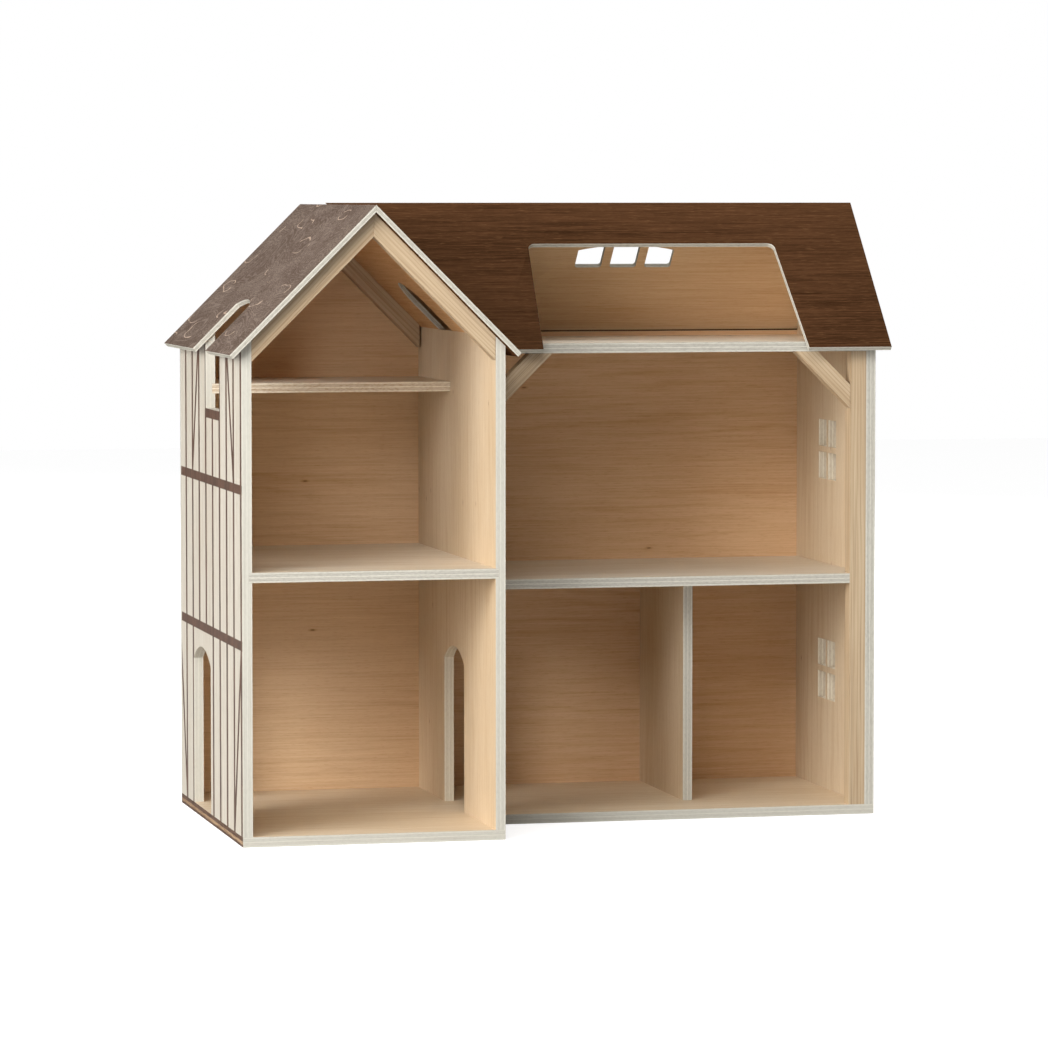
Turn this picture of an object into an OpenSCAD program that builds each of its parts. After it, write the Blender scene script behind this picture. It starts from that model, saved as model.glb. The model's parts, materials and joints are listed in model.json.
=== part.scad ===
// Wooden dollhouse: a narrow two-storey wing with its own gable roof, and a wider
// main house set back beside it, whose ridge runs across and meets the wing roof in a valley.
// The house is open at the front and closed at the back by two thin panels.
// Distances are measured from the front left corner of the wing's base:
// x to the right, y to the back, z up. Each sub-part is then moved by to_origin(),
// so that the origin is under the middle of the whole house.

/* [Boards] */
// Thickness of the walls, floors and base
board = 9.5; // [9:0.5:10]
// Thickness of the roof panels
roof_ply = 5; // [4:0.5:6]
// Thickness of the two back panels
back_ply = 5; // [4:0.5:6]
// Side of the square solid-wood battens
batten = 16; // [14:1:18]
// Depth of the grooves that hold the floors
groove = 3; // [2:0.5:4]

/* [Footprint] */
// Width of the whole base
total_w = 650; // [640:1:670]
// Width of the wing
wing_w = 252; // [248:2:260]
// Depth of the walls, front to back
wall_depth = 350; // [345:1:360]
// How far the main house stands back from the wing's front
setback = 110; // [105:1:115]

/* [Levels] */
// Top of the wing's upper floor
wing_floor_top = 257.5; // [255:0.5:262]
// Top of the wing's loft shelf
loft_top = 426.5; // [420:0.5:430]
// Top of the main house's upper floor
main_floor_top = 238; // [232:0.5:244]
// Top of the main house's attic floor
attic_floor_top = 466; // [464:0.5:466]

/* [Roofs] */
// Height of the wing's ridge
wing_ridge_z = 600; // [598:1:604]
// How much higher the main ridge stands than the wing's
ridge_lift = 1.5; // [1:0.5:3]
// Overhang of the wing's eaves beside its walls
wing_eave = 13; // [10:1:15]
// Overhang of the wing roof at the front
wing_front_eave = 12; // [8:1:16]
// Overhang of both roofs behind the back panels, and of the main roof at the front
main_eave = 18; // [14:1:20]
// Overhang of the main roof beyond the gable wall
gable_eave = 11; // [8:1:14]

/* [Openings] */
// Width of the door in the wing's outer wall
door_w = 100; // [90:1:104]
// Width of the doorway between the wing and the main house
doorway_w = 90; // [80:1:96]
// Height of both doors at the side of the arch
door_spring = 153; // [145:1:158]
// Rise of the door arches
door_rise = 15; // [10:1:20]
// Height of the sill of the wing's side window
sill_z = 403; // [400:1:410]
// Width of the wing's side window
window_w = 79; // [74:1:80]
// Side length of the gable wall's windows
gable_window = 60; // [54:1:64]
// Width of a glazing bar in the gable wall's windows
glazing_bar = 6; // [5:0.5:8]
// Width of the roof cut-out at its top edge
cutout_w = 250; // [240:1:256]
// How much the cut-out widens on each side down to the eave
cutout_flare = 8; // [4:1:10]
// Width of one pane of the arched roof window
pane_w = 27; // [24:1:28]
// Width of the bars between the panes
pane_bar = 9; // [8:0.5:10]

/* [Fasteners] */
// Diameter of the base screws
screw_d = 3; // [2.5:0.5:3.5]
// Length of the base screws
screw_l = 28; // [24:1:30]
// Diameter of the back panels' pins
pin_d = 1.4; // [1.2:0.1:1.6]
// Length of the back panels' pins
pin_l = 15; // [12:1:18]
// Diameter of the wooden dowels
dowel_d = 6; // [5:0.5:6]

/* [Hidden] */
$fn = 48;

slack = 0.05;                                  // clearance of a fastener in its hole
past = 1;                                      // how far a cutter runs past a face
rise_45 = sqrt(2);                             // length along a 45 degree slope per unit of run
house_depth = wall_depth + back_ply;
wing_mid = wing_w / 2;
inner_x = wing_w - board;                      // wing side of the inner wall
gable_x = total_w - board;                     // room side of the gable wall
seam_x = wing_w - board / 2;                   // joint between the two back panels

// Roof planes, all at 45 degrees
wing_under_z = wing_ridge_z - roof_ply * rise_45;
main_ridge_z = wing_ridge_z + ridge_lift;
main_under_z = main_ridge_z - roof_ply * rise_45;
main_ridge_y = (setback + house_depth) / 2;
main_run = (house_depth - setback) / 2 + main_eave;
wing_run = wing_mid + wing_eave;
rafter_drop = batten * rise_45;
eave_cut = roof_ply / rise_45;                 // square-cut eave, measured across and down

wing_front_y = -wing_front_eave;
rear_y = house_depth + main_eave;
roof_right_x = total_w + gable_eave;
attic_bottom = attic_floor_top - board;
main_floor_bottom = main_floor_top - board;
back_top_z = 470.5;                            // leaves a dark gap under the main roof

// Places of the openings
door_y = 228 - door_w / 2;
doorway_y = 183 - doorway_w / 2;
window_y = 122;
shelf_front_y = window_y + window_w;
slot_w = window_w - 6;                         // roof slot above the window, a little narrower
slot_y = window_y + window_w / 2;
slot_crown = 129;                              // distance of its crown down the slope
slot_rise = 7;
passage_w = 62;                                // attic passage through the wing roof
passage_y = 222;
passage_tip = 104;                             // distance of its tip down the slope
gable_window_y = 241;
gable_window_z = [130.5, 353];
cutout_mid = 444;
cutout_top = 57;                               // distance of its top edge down the slope
cutout_r = 7;
pane_mid = 439.5;
pane_bottom = 87;                              // distance of the sill down the slope
pane_h = 31.5;
pane_arch_r = 175;
pane_r = 3;
partition_x = 474;
partition_y = 180;
brace_leg = 56;
post_x = [wing_w, gable_x - batten];

// Places of the fasteners, and the screws' and pins' heads
outer_screw_y = [50, 150, 310];
inner_screw_y = [60, 290, 335];
gable_screw_y = [170, 240, 310];
partition_screw_y = [220, 320];
dowel_l = 16;
dowel_shift = 2;                               // a dowel reaches deeper into the piece below
dowel_y = [225, 310];
head_d = 2 * screw_d;
head_h = (head_d - screw_d) / 2;
screw_sink = 0.3;
pin_head_d = 3;
pin_head_h = 0.6;
pin_sink = 0.4;
pin_edge = 2.4;                                // of a pin from the seam of the back panels
wing_pin_z = [60, 160, 220, 300, 380, 440];
wing_pin_x = [85, 167];
main_pin_z = [60, 160, 300, 380, 445];
main_pin_x = [320, 400, 560];
partition_pin_z = [70, 150];
ridge_batten_x = 158;
rafter_gap = 2;                                // the rear right rafter falls this short of the wall

mid_x = (roof_right_x - wing_eave) / 2;
mid_y = (rear_y - wing_front_eave) / 2;

// Moves a sub-part from the corner of the base to the middle of the house
module to_origin() {
    translate([-mid_x, -mid_y, 0]) children();
}

// Stands an outline drawn in (y, z) up across the house, from x to x + t
module across(x, t) {
    translate([x, 0, 0]) rotate([90, 0, 90]) linear_extrude(t) children();
}

// Stands an outline drawn in (x, z) up along the house, from y to y + t
module along(y, t) {
    translate([0, y + t, 0]) rotate([90, 0, 0]) linear_extrude(t) children();
}

// Cutter through a wing roof slope, drawn in (distance down the slope, y)
module through_wing_slope(side) {
    translate([wing_mid, 0, wing_ridge_z])
        rotate([0, side < 0 ? 135 : 45, 0])
            linear_extrude(6 * roof_ply, center = true) children();
}

// Cutter through a main roof slope, drawn in (x, distance down the slope)
module through_main_slope(side) {
    translate([0, main_ridge_y, main_ridge_z])
        rotate([side < 0 ? -135 : -45, 0, 0])
            linear_extrude(6 * roof_ply, center = true) children();
}

// Outline of an opening with a low round arch, standing on the origin
module arched(w, spring, rise) {
    r = (w * w / 4 + rise * rise) / (2 * rise);
    middle = spring + rise - r;
    intersection() {
        square([w, spring + rise + past]);
        union() {
            translate([w / 2, middle]) circle(r, $fn = 96);
            translate([-r, 0]) square([w + 2 * r, middle]);
        }
    }
}

// Rectangle with rounded corners
module rounded(w, h, r) {
    translate([r, 0]) square([w - 2 * r, h]);
    translate([0, r]) square([w, h - 2 * r]);
    for (x = [r, w - r], y = [r, h - r]) translate([x, y]) circle(r, $fn = 24);
}

// Outline in (x, z) of everything under the wing's roof panels
module under_wing_roof() {
    polygon([
        [-wing_eave, 0], [wing_mid + wing_run, 0],
        [wing_mid + wing_run, wing_under_z - wing_run], [wing_mid, wing_under_z],
        [-wing_eave, wing_under_z - wing_run]
    ]);
}

// Outline in (y, z) of everything under the main roof's panels
module under_main_roof() {
    polygon([
        [main_ridge_y - main_run, 0], [main_ridge_y + main_run, 0],
        [main_ridge_y + main_run, main_under_z - main_run], [main_ridge_y, main_under_z],
        [main_ridge_y - main_run, main_under_z - main_run]
    ]);
}

// Section of a roof panel that runs down from a mitred ridge; side is -1 or 1
module roof_section(middle, ridge_z, run, side) {
    polygon([
        [middle, ridge_z], [middle + side * run, ridge_z - run],
        [middle + side * (run - eave_cut), ridge_z - run - eave_cut],
        [middle, ridge_z - roof_ply * rise_45]
    ]);
}

// Space that the wing's roof takes out of the main roof, up to its right-hand slope
module wing_roof_space() {
    top = main_ridge_z + batten;
    bottom = main_ridge_z - main_run - batten;
    line = wing_mid + wing_ridge_z + slack;
    along(0, 2 * wall_depth)
        polygon([[0, top], [line - top, top], [line - bottom, bottom], [0, bottom]]);
}

// Countersunk wood screw with a cross recess, pointing up from z = 0
module wood_screw() {
    recess_w = 0.8;
    recess_deep = 1;
    tip = 3;
    difference() {
        rotate_extrude() polygon([
            [0, 0], [head_d / 2, 0], [screw_d / 2, head_h],
            [screw_d / 2, screw_l - tip], [0, screw_l]
        ]);
        for (turn = [0, 90]) rotate([0, 0, turn])
            translate([-head_d / 4, -recess_w / 2, -past]) cube([head_d / 2, recess_w, past + recess_deep]);
    }
}

// Hole for a wood screw, through the base and into the piece above it
module screw_hole() {
    rotate_extrude() polygon([
        [0, -past], [head_d / 2 + slack, -past], [head_d / 2 + slack, screw_sink],
        [screw_d / 2 + slack, head_h + screw_sink],
        [screw_d / 2 + slack, screw_l + past], [0, screw_l + past]
    ]);
}

// Places of the base screws under the walls, the partition and the posts
module at_base_screws() {
    for (y = outer_screw_y) translate([board / 2, y, screw_sink]) children();
    for (y = inner_screw_y) translate([inner_x + board / 2, y, screw_sink]) children();
    for (y = gable_screw_y) translate([gable_x + board / 2, y, screw_sink]) children();
    for (y = partition_screw_y) translate([partition_x + board / 2, y, screw_sink]) children();
    for (x = post_x) translate([x + batten / 2, setback + batten / 2, screw_sink]) children();
}

// Flat-headed pin driven in from behind, its tip towards the front
module panel_pin(clear = 0) {
    rotate([90, 0, 0]) {
        cylinder(h = pin_l + clear, d = pin_d + 2 * clear, $fn = 16);
        translate([0, 0, -clear * past]) cylinder(h = pin_head_h + clear, d = pin_head_d + 2 * clear, $fn = 24);
    }
}

// Hole for a panel pin, open to the back
module pin_hole() {
    panel_pin(slack);
    rotate([-90, 0, 0]) translate([0, 0, -slack]) cylinder(h = past, d = pin_head_d + 2 * slack, $fn = 24);
}

// Places of the pins of the wing's back panel: up both walls and along the floors
module at_wing_pins() {
    y = house_depth - pin_sink;
    for (z = wing_pin_z) {
        translate([board / 2, y, z]) children();
        translate([seam_x - pin_edge, y, z]) children();
    }
    for (x = wing_pin_x) {
        translate([x, y, wing_floor_top - board / 2]) children();
        translate([x, y, loft_top - board / 2]) children();
    }
}

// Places of the pins of the main back panel: up the walls, along the floors and partition
module at_main_pins() {
    y = house_depth - pin_sink;
    for (z = main_pin_z) {
        translate([seam_x + pin_edge, y, z]) children();
        translate([gable_x + board / 2, y, z]) children();
    }
    for (x = main_pin_x) {
        translate([x, y, main_floor_top - board / 2]) children();
        translate([x, y, attic_floor_top - board / 2]) children();
    }
    for (z = partition_pin_z) translate([partition_x + board / 2, y, z]) children();
}

// Places of the dowels between the partition and the floor above it
module at_partition_dowels() {
    for (y = dowel_y) translate([partition_x + board / 2, y, main_floor_bottom - dowel_l / 2 - dowel_shift]) children();
}

// Places of the dowels between the posts and the attic floor
module at_post_dowels() {
    for (x = post_x) translate([x + batten / 2, setback + batten / 2, attic_bottom - dowel_l / 2 - dowel_shift]) children();
}

module dowel(clear = 0) {
    cylinder(h = dowel_l + clear, d = dowel_d + 2 * clear, $fn = 32);
}

// L-shaped base, one board under both halves of the house
module base_board() {
    color("burlywood") to_origin() difference() {
        linear_extrude(board) union() {
            square([wing_w, house_depth]);
            translate([0, setback]) square([total_w, house_depth - setback]);
        }
        at_base_screws() screw_hole();
    }
}

// Outer wall of the wing, with the door and the side window that runs up to the eave
module wing_outer_wall() {
    color("bisque") to_origin() difference() {
        intersection() {
            across(0, board) translate([0, board]) square([wall_depth, wing_ridge_z]);
            along(0, wall_depth) under_wing_roof();
        }
        across(-past, board + 2 * past) {
            translate([door_y, board - past]) arched(door_w, door_spring - board + past, door_rise);
            translate([window_y, sill_z]) square([window_w, wing_ridge_z]);
        }
        groove_for(board - groove, wing_floor_top, 0);
        groove_for(board - groove, loft_top, shelf_front_y);
        at_base_screws() screw_hole();
        at_wing_pins() pin_hole();
    }
}

// Groove from x to x + groove that takes the end of a floor, from y to the back
module groove_for(x, top, y) {
    translate([x, y - past, top - board - slack])
        cube([groove + past, wall_depth - y + 2 * past, board + 2 * slack]);
}

// Wall between the wing and the main house, with the inner doorway
module wing_inner_wall() {
    color("bisque") to_origin() difference() {
        intersection() {
            across(inner_x, board) translate([0, board]) square([wall_depth, wing_ridge_z]);
            along(0, wall_depth) under_wing_roof();
        }
        across(inner_x - past, board + 2 * past)
            translate([doorway_y, board - past]) arched(doorway_w, door_spring - board + past, door_rise);
        groove_for(inner_x - past, wing_floor_top, 0);
        groove_for(inner_x - past, loft_top, shelf_front_y);
        groove_for(wing_w - groove, main_floor_top, setback + batten);
        at_base_screws() screw_hole();
        at_wing_pins() pin_hole();
        at_main_pins() pin_hole();
    }
}

// Four panes of a gable wall window, around its middle
module gable_panes() {
    pane = (gable_window - glazing_bar) / 2;
    for (sy = [-1, 1], sz = [-1, 1])
        translate([sy * (pane + glazing_bar) / 2, sz * (pane + glazing_bar) / 2])
            square(pane, center = true);
}

// Right-hand gable wall, with a four-pane window on each storey
module main_gable_wall() {
    color("bisque") to_origin() difference() {
        across(gable_x, board) difference() {
            intersection() {
                translate([setback, board]) square([wall_depth - setback, wing_ridge_z]);
                under_main_roof();
            }
            for (z = gable_window_z) translate([gable_window_y, z]) gable_panes();
        }
        groove_for(gable_x - past, main_floor_top, setback + batten);
        groove_for(gable_x - past, attic_floor_top, setback);
        at_base_screws() screw_hole();
        at_main_pins() pin_hole();
    }
}

// Back panel of the wing, up to the ridge
module wing_back_panel() {
    color("wheat") to_origin() difference() {
        along(wall_depth, back_ply) intersection() {
            translate([0, board]) square([seam_x - slack, wing_ridge_z]);
            under_wing_roof();
        }
        at_wing_pins() pin_hole();
    }
}

// Back panel of the main house, notched under the wing roof's end
module main_back_panel() {
    notch_z = wing_under_z - wing_mid - slack;
    color("wheat") to_origin() difference() {
        along(wall_depth, back_ply) difference() {
            translate([seam_x + slack, board]) square([total_w - seam_x - slack, back_top_z - board]);
            translate([seam_x, notch_z]) square([wing_w - seam_x + slack, board]);
        }
        at_main_pins() pin_hole();
    }
}

// Upper floor of the wing, held in grooves in both walls
module wing_floor() {
    color("burlywood") to_origin() difference() {
        translate([board - groove + slack, 0, wing_floor_top - board])
            cube([inner_x - board + 2 * (groove - slack), wall_depth, board]);
        at_wing_pins() pin_hole();
    }
}

// Shelf under the wing's roof, set back to the far side of the side window
module wing_loft_shelf() {
    color("burlywood") to_origin() difference() {
        translate([board - groove + slack, shelf_front_y, loft_top - board])
            cube([inner_x - board + 2 * (groove - slack), wall_depth - shelf_front_y, board]);
        at_wing_pins() pin_hole();
    }
}

// Upper floor of the main house, notched round the two posts
module main_floor() {
    color("burlywood") to_origin() difference() {
        translate([wing_w - groove + slack, setback, main_floor_bottom])
            cube([gable_x - wing_w + 2 * (groove - slack), wall_depth - setback, board]);
        translate([wing_w - 2 * groove, setback - past, main_floor_bottom - past])
            cube([batten + 2 * groove + slack, batten + past + slack, board + 2 * past]);
        translate([post_x[1] - slack, setback - past, main_floor_bottom - past])
            cube([batten + 2 * groove, batten + past + slack, board + 2 * past]);
        at_main_pins() pin_hole();
        at_partition_dowels() dowel(slack);
    }
}

// Attic floor of the main house, resting on the posts
module main_attic_floor() {
    color("burlywood") to_origin() difference() {
        translate([wing_w, setback, attic_bottom])
            cube([gable_x - wing_w + groove - slack, wall_depth - setback, board]);
        at_main_pins() pin_hole();
        at_post_dowels() dowel(slack);
    }
}

// Wall between the two lower rooms of the main house
module partition_wall() {
    color("bisque") to_origin() difference() {
        translate([partition_x, partition_y, board])
            cube([board, wall_depth - partition_y, main_floor_bottom - board]);
        at_base_screws() screw_hole();
        at_main_pins() pin_hole();
        at_partition_dowels() dowel(slack);
    }
}

// Left slope of the wing roof, slotted above the side window down to the eave
module wing_roof_left() {
    color("rosybrown") to_origin() difference() {
        along(wing_front_y, rear_y - wing_front_y) roof_section(wing_mid, wing_ridge_z, wing_run, -1);
        through_wing_slope(-1)
            translate([slot_crown, slot_y - slot_w / 2]) roof_slot();
    }
}

// Outline of the slot: a low arch at the top, open at the eave
module roof_slot() {
    length = wing_run * rise_45 - slot_crown + roof_ply;
    translate([length, 0]) rotate([0, 0, 90]) arched(slot_w, length - slot_rise, slot_rise);
}

// Right slope of the wing roof, trimmed beside the main house and pierced by the attic passage
module wing_roof_right() {
    color("saddlebrown") to_origin() difference() {
        along(wing_front_y, rear_y - wing_front_y) roof_section(wing_mid, wing_ridge_z, wing_run, 1);
        translate([wing_w, setback - slack, wing_ridge_z - 2 * wing_mid])
            cube([2 * wing_eave, rear_y, 2 * wing_mid]);
        through_wing_slope(1) {
            translate([passage_tip + passage_w / 2, passage_y]) circle(passage_w / 2, $fn = 96);
            translate([passage_tip + passage_w / 2, passage_y - passage_w / 2])
                square([wing_run, passage_w]);
        }
    }
}

// Front slope of the main roof, with the big cut-out over the attic floor
module main_roof_front() {
    color("saddlebrown") to_origin() difference() {
        across(wing_mid - wing_eave, roof_right_x - wing_mid + wing_eave)
            roof_section(main_ridge_y, main_ridge_z, main_run, -1);
        wing_roof_space();
        through_main_slope(-1) cutout();
    }
}

// Outline of the cut-out: it widens towards the eave and has round top corners
module cutout() {
    slope_end = (main_run + roof_ply) * rise_45;
    lean = atan(cutout_flare / (main_run * rise_45 - cutout_top));
    reach = cutout_r / tan((90 + lean) / 2);
    eave_half = cutout_w / 2 + (slope_end - cutout_top) * tan(lean);
    for (side = [-1, 1]) translate([cutout_mid, cutout_top]) mirror([side < 0 ? 1 : 0, 0]) {
        polygon([
            [0, 0], [cutout_w / 2 - reach, 0],
            [cutout_w / 2 + reach * sin(lean), reach * cos(lean)],
            [eave_half, slope_end - cutout_top], [0, slope_end - cutout_top]
        ]);
        translate([cutout_w / 2 - reach, cutout_r]) circle(cutout_r);
    }
}

// Back slope of the main roof, with the arched three-pane window
module main_roof_back() {
    color("saddlebrown") to_origin() difference() {
        across(wing_mid - wing_eave, roof_right_x - wing_mid + wing_eave)
            roof_section(main_ridge_y, main_ridge_z, main_run, 1);
        wing_roof_space();
        through_main_slope(1) arched_panes();
    }
}

// Three panes side by side under one low arch
module arched_panes() {
    total = 3 * pane_w + 2 * pane_bar;
    intersection() {
        for (i = [0:2])
            translate([pane_mid - total / 2 + i * (pane_w + pane_bar), pane_bottom - pane_h - past])
                rounded(pane_w, pane_h + past, pane_r);
        translate([pane_mid, pane_bottom - pane_h + pane_arch_r]) circle(pane_arch_r, $fn = 180);
    }
}

// Rafter under one slope of the wing roof; end_x is where it is cut upright at the wall
module rafter(y, end_x) {
    run = abs(end_x - wing_mid);
    along(y, batten) polygon([
        [wing_mid, wing_under_z], [end_x, wing_under_z - run],
        [end_x, wing_under_z - run - rafter_drop], [wing_mid, wing_under_z - rafter_drop]
    ]);
}

module rafter_front_left() {
    color("navajowhite") to_origin() rafter(0, board);
}

module rafter_front_right() {
    color("navajowhite") to_origin() rafter(0, inner_x);
}

module rafter_rear_left() {
    color("navajowhite") to_origin() rafter(wall_depth - batten, board);
}

module rafter_rear_right() {
    color("navajowhite") to_origin() rafter(wall_depth - batten, inner_x - rafter_gap);
}

// Post from the base up to the attic floor
module post(x) {
    difference() {
        translate([x, setback, board]) cube([batten, batten, attic_bottom - board]);
        at_base_screws() screw_hole();
        at_post_dowels() dowel(slack);
    }
}

module post_left() {
    color("navajowhite") to_origin() post(post_x[0]);
}

module post_right() {
    color("navajowhite") to_origin() post(post_x[1]);
}

// 45 degree brace in the corner of a post and the attic floor; side is the way it leans
module knee_brace(x, side) {
    inside = brace_leg - rafter_drop;
    along(setback, batten) translate([x, attic_bottom]) polygon([
        [side * inside, 0], [side * brace_leg, 0], [0, -brace_leg], [0, -inside]
    ]);
}

module knee_brace_left() {
    color("navajowhite") to_origin() knee_brace(post_x[0] + batten, 1);
}

module knee_brace_right() {
    color("navajowhite") to_origin() knee_brace(post_x[1], -1);
}

// Batten that joins the two main slopes under their ridge
module main_ridge_batten() {
    color("navajowhite") to_origin()
        translate([ridge_batten_x, main_ridge_y, main_under_z])
            rotate([-45, 0, 0]) translate([0, 0, -batten])
                cube([gable_x - ridge_batten_x, batten, batten]);
}

// Countersunk screws up through the base
module base_screws() {
    color("silver") to_origin() at_base_screws() wood_screw();
}

// Pins through the wing's back panel
module wing_back_pins() {
    color("silver") to_origin() at_wing_pins() panel_pin();
}

// Pins through the main back panel
module main_back_pins() {
    color("silver") to_origin() at_main_pins() panel_pin();
}

// Dowels between the partition and the floor above it
module partition_dowels() {
    color("tan") to_origin() at_partition_dowels() dowel();
}

// Dowels between the posts and the attic floor
module post_dowels() {
    color("tan") to_origin() at_post_dowels() dowel();
}

base_board();
wing_outer_wall();
wing_inner_wall();
main_gable_wall();
wing_back_panel();
main_back_panel();
wing_floor();
wing_loft_shelf();
main_floor();
main_attic_floor();
partition_wall();
wing_roof_left();
wing_roof_right();
main_roof_front();
main_roof_back();
rafter_front_left();
rafter_front_right();
rafter_rear_left();
rafter_rear_right();
post_left();
post_right();
knee_brace_left();
knee_brace_right();
main_ridge_batten();
base_screws();
wing_back_pins();
main_back_pins();
partition_dowels();
post_dowels();
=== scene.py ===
"""Wooden dollhouse: plywood, stain, painted timbers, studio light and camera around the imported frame."""
import json
import math

import bpy
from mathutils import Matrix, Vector


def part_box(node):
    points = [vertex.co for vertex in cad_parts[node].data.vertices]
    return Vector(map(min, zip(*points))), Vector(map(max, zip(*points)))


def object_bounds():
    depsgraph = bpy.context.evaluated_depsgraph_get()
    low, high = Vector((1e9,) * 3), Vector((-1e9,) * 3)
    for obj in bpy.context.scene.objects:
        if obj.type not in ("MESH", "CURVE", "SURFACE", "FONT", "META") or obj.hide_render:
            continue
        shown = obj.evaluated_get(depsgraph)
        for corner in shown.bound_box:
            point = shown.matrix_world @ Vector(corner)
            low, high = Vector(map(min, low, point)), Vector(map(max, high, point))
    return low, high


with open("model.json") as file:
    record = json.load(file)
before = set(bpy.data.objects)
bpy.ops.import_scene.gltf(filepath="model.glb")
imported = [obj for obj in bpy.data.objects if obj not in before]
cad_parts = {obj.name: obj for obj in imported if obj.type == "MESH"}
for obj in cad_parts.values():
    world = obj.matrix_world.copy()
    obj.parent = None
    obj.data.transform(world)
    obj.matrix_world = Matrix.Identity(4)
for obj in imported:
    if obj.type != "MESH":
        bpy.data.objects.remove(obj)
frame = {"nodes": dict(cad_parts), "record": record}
cad_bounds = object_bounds()

# ---------------------------------------------------------------- directions and sizes, in metres

RIGHT = Vector((1, 0, 0))
BACK = Vector((0, 1, 0))
UP = Vector((0, 0, 1))
LEFT_SLOPE_OUT = Vector((-1, 0, 1)).normalized()
RIGHT_SLOPE_OUT = Vector((1, 0, 1)).normalized()
FRONT_SLOPE_OUT = Vector((0, -1, 1)).normalized()
BACK_SLOPE_OUT = Vector((0, 1, 1)).normalized()

LINE_W = 0.0080            # painted vertical lines
PLANK_W = 0.0394           # distance between them
BAND_H = 0.0090            # painted bands round the storeys
LOWER_BAND_Z = 0.1885
UPPER_BAND_Z = 0.3345
FRONT_WHITE = 0.006        # how far behind a board's front end its edges are whitened
ALL_WHITE = 1.0            # for boards that are white on every edge
NO_WHITE = -1.0            # for boards that aren't whitened
LINE_BLUR = 0.0003         # half the width of a line's soft border
BAND_BLUR = 0.0004
LINE_WAVER = 0.0012        # how far the painted lines waver
PAINT_COVER = 0.96
BOARD_BUMP = 0.0003        # depth of the grain's relief
PANEL_BEVEL = 0.0003
BATTEN_BEVEL = 0.0006
FLOOR_SIZE = 14.0
FLOOR_DROP = 0.0002        # keeps the floor just below the base

CAMERA_TARGET = Vector((-0.0277, -0.0679, 0.2915))
CAMERA_DISTANCE = 4.75
CAMERA_AZIMUTH = -13.22    # degrees
CAMERA_ELEVATION = 3.84
CAMERA_SENSOR = 36.0       # millimetres
CAMERA_LENS = 168.7

LIGHT_DISTANCE = 4.4
AREA_LIGHTS = {            # azimuth and elevation in degrees, size in metres, power in watts
    "key": (-55, 17, 2.9, 245),
    "front": (-20, 34, 2.0, 66),
    "rear": (140, 25, 2.9, 130),
}
TOP_LIGHT_STRENGTH = 1.0
TOP_LIGHT_ANGLE = 40       # degrees
AMBIENT = 0.07
FLOOR_GLOW = 0.76

OPENINGS = {o["name"]: [Vector(c) for c in o["box_m"]] for o in frame["record"]["physics"]["openings"]}


def rgb(code):
    """A colour written as #RRGGBB, as linear RGBA."""
    parts = [int(code[i:i + 2], 16) / 255 for i in (1, 3, 5)]
    linear = [c / 12.92 if c <= 0.04045 else ((c + 0.055) / 1.055) ** 2.4 for c in parts]
    return (*linear, 1.0)


# ---------------------------------------------------------------- node trees in short calls

class Graph:
    """A material's node tree. Values are numbers, colours, vectors or sockets."""

    def __init__(self, name):
        self.material = bpy.data.materials.new(name)
        self.material.use_nodes = True
        self.nodes = self.material.node_tree.nodes
        self.links = self.material.node_tree.links
        self.nodes.clear()

    def make(self, kind, values=(), **settings):
        """A node with its settings, and its inputs set or linked in order."""
        node = self.nodes.new(kind)
        for key, value in settings.items():
            setattr(node, key, value)
        for socket, value in zip(node.inputs, values):
            self.put(value, socket)
        return node

    def put(self, value, socket):
        """Links a socket, or sets a value where there is one."""
        if isinstance(value, bpy.types.NodeSocket):
            self.links.new(value, socket)
        elif value is not None:
            socket.default_value = value

    def math(self, operation, a, b=0.0, c=0.0):
        return self.make("ShaderNodeMath", (a, b, c), operation=operation).outputs[0]

    def dot(self, a, b):
        return self.make("ShaderNodeVectorMath", (a, tuple(b)), operation="DOT_PRODUCT").outputs["Value"]

    def vector(self, x, y, z):
        return self.make("ShaderNodeCombineXYZ", (x, y, z)).outputs[0]

    def scaled(self, vector, factors, offset=(0, 0, 0)):
        node = self.make("ShaderNodeVectorMath", (vector, factors, offset), operation="MULTIPLY_ADD")
        return node.outputs[0]

    def noise(self, vector, detail=2.0, roughness=0.5, distortion=0.0):
        node = self.make("ShaderNodeTexNoise")
        self.put(vector, node.inputs["Vector"])
        node.inputs["Scale"].default_value = 1.0
        node.inputs["Detail"].default_value = detail
        node.inputs["Roughness"].default_value = roughness
        node.inputs["Distortion"].default_value = distortion
        return node.outputs["Fac"]

    def step(self, value, low, high):
        """0 below low, 1 above high, smooth between."""
        node = self.make("ShaderNodeMapRange", interpolation_type="SMOOTHSTEP")
        for name, number in (("Value", value), ("From Min", low), ("From Max", high)):
            self.put(number, node.inputs[name])
        return node.outputs["Result"]

    def mix(self, factor, a, b, blend="MIX"):
        node = self.make("ShaderNodeMix", data_type="RGBA", blend_type=blend)
        self.put(factor, node.inputs["Factor"])
        colours = [s for s in node.inputs if s.type == "RGBA"]
        self.put(a, colours[0])
        self.put(b, colours[1])
        return [s for s in node.outputs if s.type == "RGBA"][0]

    def finish(self, colour, roughness, height=None, bump=0.0, distance=0.0, **sockets):
        """Joins colour, roughness and bump to one shader."""
        shader = self.make("ShaderNodeBsdfPrincipled")
        self.put(colour, shader.inputs["Base Color"])
        self.put(roughness, shader.inputs["Roughness"])
        for name, value in sockets.items():
            self.put(value, shader.inputs[name.replace("_", " ")])
        if height is not None:
            node = self.make("ShaderNodeBump")
            node.inputs["Strength"].default_value = bump
            node.inputs["Distance"].default_value = distance
            self.put(height, node.inputs["Height"])
            self.put(node.outputs[0], shader.inputs["Normal"])
        output = self.make("ShaderNodeOutputMaterial")
        self.put(shader.outputs[0], output.inputs[0])
        return self.material


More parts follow.
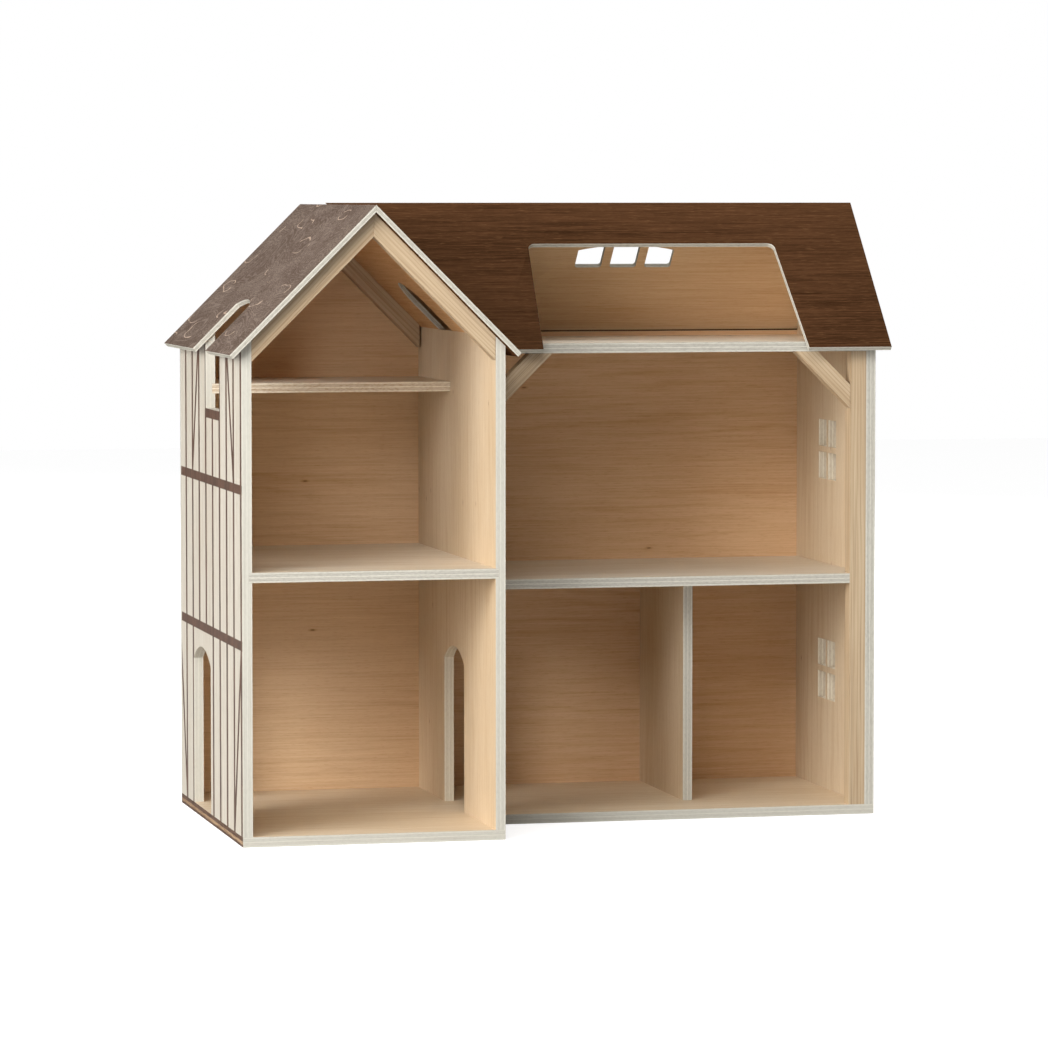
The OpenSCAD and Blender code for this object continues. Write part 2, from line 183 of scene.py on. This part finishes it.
def between(g, value, low, high):
    """1 where value is between low and high, with a crisp but not razor-sharp border."""
    above = g.step(value, low - BAND_BLUR, low + BAND_BLUR)
    below = g.step(value, high + BAND_BLUR, high - BAND_BLUR)
    return g.math("MULTIPLY", above, below)


def union(g, masks):
    """1 where any of the masks is 1."""
    total = masks[0]
    for mask in masks[1:]:
        total = g.math("MAXIMUM", total, mask)
    return total


def waves(g, phase, sharpness):
    """Sine waves of the phase, from 0 to 1, with their crests sharpened."""
    return g.math("POWER", g.math("MULTIPLY_ADD", g.math("SINE", phase), 0.5, 0.5), sharpness)


def cells(g, vector):
    """Voronoi cells over the face of a board: distance from each cell's middle, and its random number."""
    node = g.make("ShaderNodeTexVoronoi", voronoi_dimensions="2D")
    g.put(vector, node.inputs["Vector"])
    node.inputs["Scale"].default_value = 1.0
    chance = g.make("ShaderNodeSeparateColor", (node.outputs["Color"],)).outputs[0]
    return node.outputs["Distance"], chance


def seed_of(name):
    """An offset into the noise that differs from board to board."""
    return [sum(ord(c) * (i + k) for i, c in enumerate(name, 1)) % 97 / 3.1 for k in (1, 5, 9)]


# ---------------------------------------------------------------- wood
# The factors given to scaled() are noise cells per metre: along the grain, across it and through the board.

VENEER_RING_PHASE = 420                  # radians per metre across the grain, so a ring every 15 mm
BATTEN_RING_PHASE = (12.0, 1900.0, 1300.0)

def wood_space(g, along, through, seed):
    """Position along the grain, across it and through the board, each board with its own offset."""
    place = g.make("ShaderNodeTexCoord").outputs["Object"]
    across = through.cross(along)
    return g.vector(
        g.math("ADD", g.dot(place, along), seed[0]),
        g.math("ADD", g.dot(place, across), seed[1]),
        g.math("ADD", g.dot(place, through), seed[2]),
    )


def veneer_figure(g, p):
    """Soft figure, growth-ring lines, fine fibres and short pores of a veneer, each from 0 to 1."""
    clouds = g.noise(g.scaled(p, (2.0, 11.0, 2.0)), 4.0, 0.6)
    warp = g.noise(g.scaled(p, (2.2, 9.0, 2.0)), 4.0, 0.6)
    phase = g.math("MULTIPLY_ADD", warp, 34.0, g.dot(p, (0, VENEER_RING_PHASE, 0)))
    in_places = g.step(g.noise(g.scaled(p, (5.0, 24.0, 4.0)), 2.0), 0.40, 0.66)
    rings = g.math("MULTIPLY", waves(g, phase, 3.0), in_places)
    fibres = g.noise(g.scaled(p, (13.0, 640.0, 30.0)), 4.0, 0.65)
    pores = g.step(g.noise(g.scaled(p, (120.0, 1900.0, 60.0)), 1.0), 0.58, 0.70)
    return clouds, rings, fibres, pores


def veneer_colour(g, figure, light, dark, shares=(0.34, 0.10, 0.56)):
    """Mixes the figure's clouds, rings and fibres, in these shares, between two colours."""
    *layers, pores = figure
    tone = 0.0
    for layer, share in zip(layers, shares):
        tone = g.math("MULTIPLY_ADD", layer, share, tone)
    colour = g.mix(g.step(tone, 0.28, 0.70), rgb(light), rgb(dark))
    return g.mix(g.math("MULTIPLY", pores, 0.25), colour, rgb(dark), "MULTIPLY")


def knots(g, p, colour, spread):
    """A few small knots: dark oval spots with a warm rim."""
    distance, chance = cells(g, g.scaled(p, spread))
    rare = g.step(chance, 0.86, 0.87)
    rim = g.math("MULTIPLY", rare, g.step(distance, 0.045, 0.012))
    core = g.math("MULTIPLY", rare, g.step(distance, 0.020, 0.008))
    colour = g.mix(g.math("MULTIPLY", rim, 0.45), colour, rgb("#A5713F"))
    return g.mix(g.math("MULTIPLY", core, 0.7), colour, rgb("#6B4326"))


def ply_edge(g, p, depth, whitened, plies, layer_share):
    """Colour of a plywood edge: cream wood with brown layers, or chalky white with grey layers where it
    is whitened. depth runs from 0 to 1 through the board."""
    bend = g.math("SUBTRACT", g.noise(g.scaled(p, (26.0, 26.0, 26.0)), 2.0), 0.5)
    layer = g.math("MULTIPLY", g.math("MULTIPLY_ADD", bend, 0.05, depth), plies)
    end_grain = g.math("MODULO", g.math("FLOOR", layer), 2.0)
    from_middle = g.math("ABSOLUTE", g.math("SUBTRACT", g.math("FRACT", layer), 0.5))
    glue = g.step(from_middle, 0.36, 0.5)
    streaks = g.noise(g.scaled(p, (14.0, 14.0, 1200.0)), 3.0)
    specks = g.noise(g.scaled(p, (260.0, 260.0, 900.0)), 2.0)
    sanded = g.mix(whitened, rgb("#E2D8C3"), rgb("#CFCBBE"))
    layer_dark = g.mix(whitened, rgb("#9F7E5A"), rgb("#8E867A"))
    shade = g.math("MULTIPLY_ADD", g.step(specks, 0.35, 0.8), 0.30, g.math("MULTIPLY", glue, 0.55))
    shade = g.math("MULTIPLY", g.math("MULTIPLY_ADD", end_grain, 0.28, shade), layer_share)
    shade = g.math("MULTIPLY_ADD", g.step(streaks, 0.45, 0.85), 0.22, shade)
    return g.mix(shade, sanded, layer_dark)


def plywood(node, along, through, inner, outer, plies=5, edge=None, layer_share=0.8,
            whitened_depth=FRONT_WHITE, gloss=0.35):
    """Plywood board: veneer on both faces and layers on its edges. inner and outer are the finishes of
    the faces that look against and along the through direction. The edges are whitened down to
    whitened_depth behind the board's front end."""
    g = Graph(node + "_ply")
    p = wood_space(g, along, through, seed_of(node))
    heights = [v.co.dot(through) for v in frame["nodes"][node].data.vertices]
    low, high = min(heights), max(heights)
    coords = g.make("ShaderNodeTexCoord")
    place = coords.outputs["Object"]
    depth = g.math("DIVIDE", g.math("SUBTRACT", g.dot(place, through), low), high - low)
    facing = g.dot(coords.outputs["Normal"], through)
    figure = veneer_figure(g, p)
    fibres, pores = figure[2:]
    inner_look = inner(g, place, p, figure)
    outer_look = outer(g, place, p, figure)
    on_outer = g.step(facing, 0.0, 0.1)
    on_edge = g.math("SUBTRACT", 1.0, g.step(g.math("ABSOLUTE", facing), 0.55, 0.75))
    white_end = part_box(node)[0].y + whitened_depth
    whitened = g.step(g.dot(place, BACK), white_end + 0.001, white_end - 0.001)
    edge_colour = ply_edge(g, p, depth, whitened, plies, layer_share)
    if edge:
        edge_colour = edge(g, coords, depth, edge_colour)
    colour = g.mix(on_edge, g.mix(on_outer, inner_look, outer_look), edge_colour)
    roughness = g.math("MULTIPLY_ADD", on_edge, 0.15, g.math("MULTIPLY_ADD", fibres, 0.2, 0.42))
    height = g.math("MULTIPLY_ADD", fibres, 0.6, g.math("MULTIPLY", pores, -0.5))
    return g.finish(colour, roughness, height, 0.2, BOARD_BUMP, Specular_IOR_Level=gloss)


def clear_finish(light, dark, shares=(0.34, 0.10, 0.56), knot_spread=None):
    """Finish of clear-lacquered veneer between two colours, with small knots where a spread is given."""
    def look(g, place, p, figure):
        colour = veneer_colour(g, figure, light, dark, shares)
        return knots(g, p, colour, knot_spread) if knot_spread else colour

    return look


def dark_stain(g, place, p, figure):
    """Dark brown stain that leaves some fibres lighter."""
    colour = veneer_colour(g, figure, "#61412A", "#2E1C0E", (0.34, 0.05, 0.58))
    flecks = g.step(g.noise(g.scaled(p, (70.0, 1500.0, 30.0)), 2.0, 0.6), 0.56, 0.72)
    return g.mix(g.math("MULTIPLY", flecks, 0.4), colour, rgb("#8A6342"))


def curls(g, p):
    """Small arcs, long along the grain: pieces of wavering rings, one in each cell."""
    distance, chance = cells(g, g.scaled(p, (9.0, 32.0, 32.0)))
    radius = g.math("MULTIPLY_ADD", chance, 0.22, 0.10)
    waver = g.math("SUBTRACT", g.noise(g.scaled(p, (24.0, 90.0, 90.0)), 1.0), 0.5)
    away = g.math("SUBTRACT", g.math("MULTIPLY_ADD", waver, 0.5, distance), radius)
    ring = g.step(g.math("ABSOLUTE", away), 0.026, 0.008)
    piece = g.step(g.noise(g.scaled(p, (20.0, 70.0, 70.0)), 0.0), 0.50, 0.57)
    return g.math("MULTIPLY", ring, piece)


def burl_stain(g, place, p, figure):
    """Grey-brown stain over a swirling figure with small pale curls."""
    swirl = g.noise(g.scaled(place, (14.0, 6.0, 14.0)), 2.0, 0.5, 2.6)
    contour = g.math("ABSOLUTE", g.math("SUBTRACT", g.math("FRACT", g.math("MULTIPLY", swirl, 16.0)), 0.5))
    grain = g.noise(g.scaled(p, (240.0, 900.0, 400.0)), 3.0, 0.7)
    blotches = g.noise(g.scaled(p, (14.0, 30.0, 20.0)), 3.0, 0.6, 0.8)
    colour = g.mix(g.step(blotches, 0.3, 0.7), rgb("#7A6B60"), rgb("#65564C"))
    colour = g.mix(g.math("MULTIPLY", g.step(grain, 0.36, 0.66), 0.65), colour, rgb("#4A3C35"))
    colour = g.mix(g.math("MULTIPLY", g.step(contour, 0.25, 0.05), 0.20), colour, rgb("#A09086"))
    return g.mix(g.math("MULTIPLY", curls(g, p), 0.68), colour, rgb("#C4AC98"))


def under_roof_eave_shade(house_low, house_high, stain_and_eave_shade, ceiling):
    """Finish of a roof panel's underside: clear over the rooms, stained where it overhangs, and that stain
    also paints the shade under the eaves.
    """
    def look(g, place, p, figure):
        over_rooms = g.math(
            "MULTIPLY",
            between(g, g.dot(place, RIGHT), house_low.x, house_high.x),
            between(g, g.dot(place, BACK), house_low.y, house_high.y),
        )
        # Where the panel overhangs, the stain is partly real stain and partly painted shade under the eaves.
        return g.mix(over_rooms, stain_and_eave_shade(g, place, p, figure), ceiling(g, place, p, figure))

    return look


def batten_wood(node, along):
    """Planed softwood with growth rings along the batten."""
    g = Graph(node + "_wood")
    side = UP if abs(along.dot(UP)) < 0.5 else BACK
    p = wood_space(g, along, side, seed_of(node))
    warp = g.noise(g.scaled(p, (5.0, 50.0, 50.0)), 3.0)
    phase = g.math("MULTIPLY_ADD", warp, 16.0, g.dot(p, BATTEN_RING_PHASE))
    rings = waves(g, phase, 4.0)
    bands = g.noise(g.scaled(p, (4.0, 90.0, 70.0)), 3.0, 0.6)
    fibres = g.noise(g.scaled(p, (16.0, 1300.0, 1300.0)), 4.0, 0.65)
    tone = g.math("MULTIPLY_ADD", rings, 0.13, g.math("MULTIPLY", fibres, 0.42))
    tone = g.math("MULTIPLY_ADD", bands, 0.45, tone)
    streaks = g.step(g.noise(g.scaled(p, (3.0, 330.0, 260.0)), 3.0, 0.6), 0.52, 0.74)
    colour = g.mix(g.step(tone, 0.28, 0.78), rgb("#CBB595"), rgb("#A2815D"))
    colour = g.mix(g.math("MULTIPLY", streaks, 0.55), colour, rgb("#86664A"))
    return g.finish(colour, 0.5, fibres, 0.2, BOARD_BUMP)


# ---------------------------------------------------------------- painted timbers

def on_timber(g, away):
    """1 where the distance from a timber's middle line is inside its width."""
    return g.step(away, LINE_W / 2 + LINE_BLUR, LINE_W / 2 - LINE_BLUR)


def stroke(g, across, z, top, bottom):
    """A straight painted timber from top to bottom, each given as (across, z)."""
    lean = (bottom[0] - top[0]) / (bottom[1] - top[1])
    middle = g.math("MULTIPLY_ADD", g.math("SUBTRACT", z, top[1]), lean, top[0])
    away = g.math("ABSOLUTE", g.math("SUBTRACT", across, middle))
    on_line = on_timber(g, away)
    return g.math("MULTIPLY", on_line, between(g, z, bottom[1], top[1]))


def plank_count(first, last):
    """How many planks fit between two outermost lines. It is also the number of the last line."""
    return round((last - first) / PLANK_W)


def timbers(axis, first, last, strokes=(), doors=(), sills=()):
    """Finish of an outside wall: pale planks with painted lines, two bands and diagonal timbers.
    first and last are where the outermost lines run, measured along axis. strokes are pairs of
    (line number, z) ends. doors are (low, high) spans along axis, free of lines below the lower band.
    sills are (low, high, top)."""
    pitch = (last - first) / plank_count(first, last)

    def look(g, place, p, figure):
        across = g.dot(place, axis)
        z = g.dot(place, UP)
        wobble = g.noise(g.scaled(place, (90.0, 90.0, 35.0)), 2.0)
        across = g.math("MULTIPLY_ADD", g.math("SUBTRACT", wobble, 0.5), LINE_WAVER, across)
        turn = g.math("FRACT", g.math("ADD", g.math("DIVIDE", g.math("SUBTRACT", across, first), pitch), 0.5))
        away = g.math("MULTIPLY", g.math("ABSOLUTE", g.math("SUBTRACT", turn, 0.5)), pitch)
        lines = on_timber(g, away)
        for low, high in doors:
            beside = between(g, across, low, high)
            under = g.step(z, LOWER_BAND_Z + 0.001, LOWER_BAND_Z - 0.001)
            lines = g.math("MULTIPLY", lines, g.math("SUBTRACT", 1.0, g.math("MULTIPLY", beside, under)))
        parts = [lines]
        for middle in (LOWER_BAND_Z, UPPER_BAND_Z):
            parts.append(between(g, z, middle - BAND_H / 2, middle + BAND_H / 2))
        for (line_a, z_a), (line_b, z_b) in strokes:
            parts.append(stroke(g, across, z, (first + line_a * pitch, z_a), (first + line_b * pitch, z_b)))
        for low, high, top in sills:
            parts.append(g.math("MULTIPLY", between(g, across, low, high), between(g, z, top - BAND_H, top)))
        planks = veneer_colour(g, figure, "#D2CBBD", "#BFB3A1")
        brown = g.mix(g.step(wobble, 0.3, 0.7), rgb("#5E3D2A"), rgb("#452A1B"))
        return g.mix(g.math("MULTIPLY", union(g, parts), PAINT_COVER), planks, brown)

    return look


def side_timbers():
    """Timbers of the wing's outer wall, round its door and window."""
    low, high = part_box("wing_outer_wall")
    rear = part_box("wing_back_panel")[1].y
    first = low.y + LINE_W * 0.7         # the front corner's line lies wholly on the wall
    last = rear + LINE_W * 0.4           # the rear corner's line falls just behind the wall
    end = plank_count(first, last)
    pitch = (last - first) / end
    window = OPENINGS["side_window"]
    over = UPPER_BAND_Z + BAND_H / 2
    under = LOWER_BAND_Z - BAND_H / 2
    strokes = [
        ((2, high.z), (1, over)), ((6, high.z), (7, over)),
        ((0, under), (1, low.z)), ((end, under), (end - 1, low.z)),
    ]
    doors = [(first + 4 * pitch + LINE_W, first + 7 * pitch - LINE_W)]  # between the lines beside the door
    sill = window[0].z - 0.0005
    sills = [(window[0].y - 0.002, window[1].y + 0.002, sill)]
    return timbers(BACK, first, last, strokes, doors, sills)


def gable_timbers():
    """Timbers of the gable wall."""
    low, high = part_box("main_gable_wall")
    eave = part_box("main_attic_floor")[1].z
    over = UPPER_BAND_Z + BAND_H / 2
    under = LOWER_BAND_Z - BAND_H / 2
    end = plank_count(low.y, high.y)
    strokes = []
    for corner, inward in ((0, 1), (end, end - 1)):
        strokes.append(((corner, eave), (inward, over)))
        strokes.append(((corner, under), (inward, low.z)))
    return timbers(BACK, low.y, high.y, strokes)


def back_timbers():
    """Timbers across both back panels."""
    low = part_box("wing_back_panel")[0]
    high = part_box("main_back_panel")[1]
    return timbers(RIGHT, low.x, high.x)


def brown_sides(g, coords, depth, colour):
    """The base's edges are stained at the sides and the back, and left pale at the front."""
    stained = g.step(g.dot(coords.outputs["Normal"], -BACK), 0.6, 0.4)
    grain = g.noise(g.scaled(coords.outputs["Object"], (60.0, 60.0, 700.0)), 3.0)
    brown = g.mix(g.step(grain, 0.3, 0.7), rgb("#6E5443"), rgb("#4C3629"))
    tan = g.mix(g.step(grain, 0.3, 0.7), rgb("#B89A78"), rgb("#8A6C50"))
    middle = g.math("ABSOLUTE", g.math("SUBTRACT", depth, 0.42))
    striped = g.mix(g.step(middle, 0.20, 0.10), brown, tan)
    return g.mix(stained, colour, striped)


# ---------------------------------------------------------------- small parts

def steel(name):
    """Zinc-plated steel, a little dulled in patches."""
    g = Graph(name)
    place = g.make("ShaderNodeTexCoord").outputs["Object"]
    wear = g.noise(g.scaled(place, (300.0, 300.0, 300.0)), 3.0)
    colour = g.mix(wear, rgb("#C9C9C6"), rgb("#8F8F8C"))
    roughness = g.math("MULTIPLY_ADD", wear, 0.3, 0.2)
    return g.finish(colour, roughness, wear, 0.1, 0.0002, Metallic=1.0)


def soften(piece, width):
    """Finely rounded edges, as sanding leaves them."""
    weld = piece.modifiers.new("weld", "WELD")
    weld.merge_threshold = 0.000002
    bevel = piece.modifiers.new("bevel", "BEVEL")
    bevel.width = width
    bevel.segments = 2
    bevel.limit_method = "ANGLE"
    bevel.angle_limit = math.radians(30)


def dress(node, material, edge_width=0.0):
    """Gives a CAD node its material and, where asked, softened edges."""
    piece = frame["nodes"][node]
    piece.data.materials.clear()
    piece.data.materials.append(material)
    if edge_width:
        soften(piece, edge_width)


# ---------------------------------------------------------------- camera, light and floor

def place_around(target, data, azimuth, elevation, distance):
    """An object that looks at the target from an azimuth and elevation in degrees. Azimuth 0 is the front."""
    a, e = math.radians(azimuth), math.radians(elevation)
    back = Vector((math.sin(a) * math.cos(e), -math.cos(a) * math.cos(e), math.sin(e)))
    thing = bpy.data.objects.new(data.name, data)
    bpy.context.scene.collection.objects.link(thing)
    thing.location = target + distance * back
    thing.rotation_euler = (-back).to_track_quat("-Z", "Y").to_euler()
    return thing


def make_camera():
    """A long lens from the front left, a little above the ridge, looking slightly down."""
    data = bpy.data.cameras.new("camera")
    data.sensor_width = CAMERA_SENSOR
    data.lens = CAMERA_LENS
    camera = place_around(CAMERA_TARGET, data, CAMERA_AZIMUTH, CAMERA_ELEVATION, CAMERA_DISTANCE)
    bpy.context.scene.camera = camera


def make_area(name, azimuth, elevation, size, power):
    """A square soft light that looks at the middle of the house."""
    data = bpy.data.lights.new(name, "AREA")
    data.size = size
    data.energy = power
    middle = (cad_bounds[0] + cad_bounds[1]) / 2
    place_around(middle, data, azimuth, elevation, LIGHT_DISTANCE)


def make_top_light():
    """Even light from straight above."""
    data = bpy.data.lights.new("top", "SUN")
    data.energy = TOP_LIGHT_STRENGTH
    data.angle = math.radians(TOP_LIGHT_ANGLE)
    light = bpy.data.objects.new("top", data)
    bpy.context.scene.collection.objects.link(light)


def make_studio():
    """White backdrop and weak ambient light, the area lights and the light from above."""
    world = bpy.data.worlds.new("studio")
    world.use_nodes = True
    nodes, links = world.node_tree.nodes, world.node_tree.links
    ambient = nodes["Background"]
    ambient.inputs["Color"].default_value = (1, 1, 1, 1)
    ambient.inputs["Strength"].default_value = AMBIENT
    backdrop = nodes.new("ShaderNodeBackground")
    backdrop.inputs["Color"].default_value = (1, 1, 1, 1)
    choice = nodes.new("ShaderNodeMixShader")
    links.new(nodes.new("ShaderNodeLightPath").outputs["Is Camera Ray"], choice.inputs[0])
    links.new(ambient.outputs[0], choice.inputs[1])
    links.new(backdrop.outputs[0], choice.inputs[2])
    links.new(choice.outputs[0], nodes["World Output"].inputs[0])
    bpy.context.scene.world = world
    for name, settings in AREA_LIGHTS.items():
        make_area(name, *settings)
    make_top_light()


def make_floor():
    """Plain pale grey floor that glows towards the camera only, so that it runs into the white backdrop."""
    mesh = bpy.data.meshes.new("floor")
    half = FLOOR_SIZE / 2
    corners = [(-half, -half, 0), (half, -half, 0), (half, half, 0), (-half, half, 0)]
    mesh.from_pydata(corners, [], [(0, 1, 2, 3)])
    floor = bpy.data.objects.new("floor", mesh)
    floor.location.z = -FLOOR_DROP
    bpy.context.scene.collection.objects.link(floor)
    g = Graph("floor_paint")
    place = g.make("ShaderNodeTexCoord").outputs["Object"]
    tone = g.noise(g.scaled(place, (3.0, 3.0, 3.0)), 3.0)
    glow = g.math("MULTIPLY", g.make("ShaderNodeLightPath").outputs["Is Camera Ray"], FLOOR_GLOW)
    floor.data.materials.append(g.finish(
        g.mix(tone, rgb("#C2C2C2"), rgb("#BEBEBE")), 0.9,
        Emission_Color=(1, 1, 1, 1), Emission_Strength=glow, Specular_IOR_Level=0.1,
    ))


# ---------------------------------------------------------------- the house

# Shares of clouds, rings and fibres, and knot cells per metre along and across the grain
PANEL_SHARES = (0.34, 0.09, 0.52)
CEILING_SHARES = (0.34, 0.06, 0.54)
WALL_KNOTS = (9.0, 26.0, 9.0)
PANEL_KNOTS = (7.0, 22.0, 7.0)

WALL_FACE = clear_finish("#DDCAAE", "#C8AC86", knot_spread=WALL_KNOTS)
BASE_FACE = clear_finish("#EAD8BE", "#D6BC96")
FLOOR_FACE = clear_finish("#EADFCE", "#D2BFA2")
# The back panels are warmer than the walls, and the main one darker, as painted shade deep in the rooms.
WING_BACK_SHADED_FACE = clear_finish("#E9CAA4", "#CFA87E", PANEL_SHARES, PANEL_KNOTS)
MAIN_BACK_SHADED_FACE = clear_finish("#DFBB93", "#C5996D", PANEL_SHARES, PANEL_KNOTS)
# The ceilings are warmer than the walls, and the wing's darker still, as painted shade under the roofs.
WING_CEILING_SHADED = clear_finish("#DDB589", "#BF9163", CEILING_SHARES)
ATTIC_CEILING_SHADED = clear_finish("#ECCEA6", "#D6AD82", CEILING_SHARES)


def dress_walls():
    outer_wall = plywood(
        "wing_outer_wall", UP, -RIGHT, WALL_FACE, side_timbers(),
        layer_share=0.35, whitened_depth=ALL_WHITE,
    )
    dress("wing_outer_wall", outer_wall)
    dress("wing_inner_wall", plywood("wing_inner_wall", UP, RIGHT, WALL_FACE, WALL_FACE, layer_share=0.5))
    dress("main_gable_wall", plywood("main_gable_wall", UP, RIGHT, WALL_FACE, gable_timbers()))
    dress("partition_wall", plywood("partition_wall", UP, RIGHT, WALL_FACE, WALL_FACE))
    # The inside faces of the back panels carry painted shade in their tone.
    for node, inside in (("wing_back_panel", WING_BACK_SHADED_FACE), ("main_back_panel", MAIN_BACK_SHADED_FACE)):
        dress(node, plywood(node, RIGHT, BACK, inside, back_timbers(), plies=3))


def dress_floors():
    for node in ("wing_floor", "main_floor", "main_attic_floor"):
        dress(node, plywood(node, RIGHT, UP, FLOOR_FACE, FLOOR_FACE, layer_share=1.0))
    shelf = plywood(
        "wing_loft_shelf", RIGHT, UP, FLOOR_FACE, FLOOR_FACE,
        layer_share=1.2, whitened_depth=NO_WHITE,
    )
    dress("wing_loft_shelf", shelf)
    base = plywood(
        "base_board", RIGHT, UP, BASE_FACE, BASE_FACE,
        edge=brown_sides, layer_share=0.5, whitened_depth=ALL_WHITE,
    )
    dress("base_board", base)


def dress_roofs():
    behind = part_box("wing_back_panel")[1].y
    wing_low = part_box("wing_outer_wall")[0]
    wing_high = Vector((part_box("wing_inner_wall")[1].x, behind, 0))
    main_low = Vector((wing_low.x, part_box("main_gable_wall")[0].y, 0))
    main_high = Vector((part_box("main_gable_wall")[1].x, behind, 0))
    wing = (wing_low, wing_high)
    main = (main_low, main_high)
    for node, along, out, rooms, stain_and_eave_shade, ceiling in (
        ("wing_roof_left", BACK, LEFT_SLOPE_OUT, wing, burl_stain, WING_CEILING_SHADED),
        ("wing_roof_right", BACK, RIGHT_SLOPE_OUT, wing, dark_stain, WING_CEILING_SHADED),
        ("main_roof_front", RIGHT, FRONT_SLOPE_OUT, main, dark_stain, ATTIC_CEILING_SHADED),
        ("main_roof_back", RIGHT, BACK_SLOPE_OUT, main, dark_stain, ATTIC_CEILING_SHADED),
    ):
        # Each roof's stain also covers its underside where it overhangs: real stain there, and painted shade
        # under the eaves too.
        panel = plywood(
            node, along, out, under_roof_eave_shade(*rooms, stain_and_eave_shade, ceiling), stain_and_eave_shade,
            plies=3, layer_share=1.1, whitened_depth=ALL_WHITE, gloss=0.0,
        )
        dress(node, panel, PANEL_BEVEL)


def dress_battens():
    down_right = Vector((1, 0, -1)).normalized()
    down_left = Vector((-1, 0, -1)).normalized()
    for along, nodes in (
        (down_left, ("rafter_front_left", "rafter_rear_left", "knee_brace_left")),
        (down_right, ("rafter_front_right", "rafter_rear_right", "knee_brace_right")),
        (RIGHT, ("main_ridge_batten",)),
    ):
        for node in nodes:
            dress(node, batten_wood(node, along), BATTEN_BEVEL)
    for node in ("post_left", "post_right", "partition_dowels", "post_dowels"):
        dress(node, batten_wood(node, UP))


def dress_metal():
    for node in ("base_screws", "wing_back_pins", "main_back_pins"):
        dress(node, steel(node + "_steel"))


make_camera()
make_floor()
make_studio()
dress_walls()
dress_floors()
dress_roofs()
dress_battens()
dress_metal()
bpy.context.scene.view_settings.view_transform = "Standard"
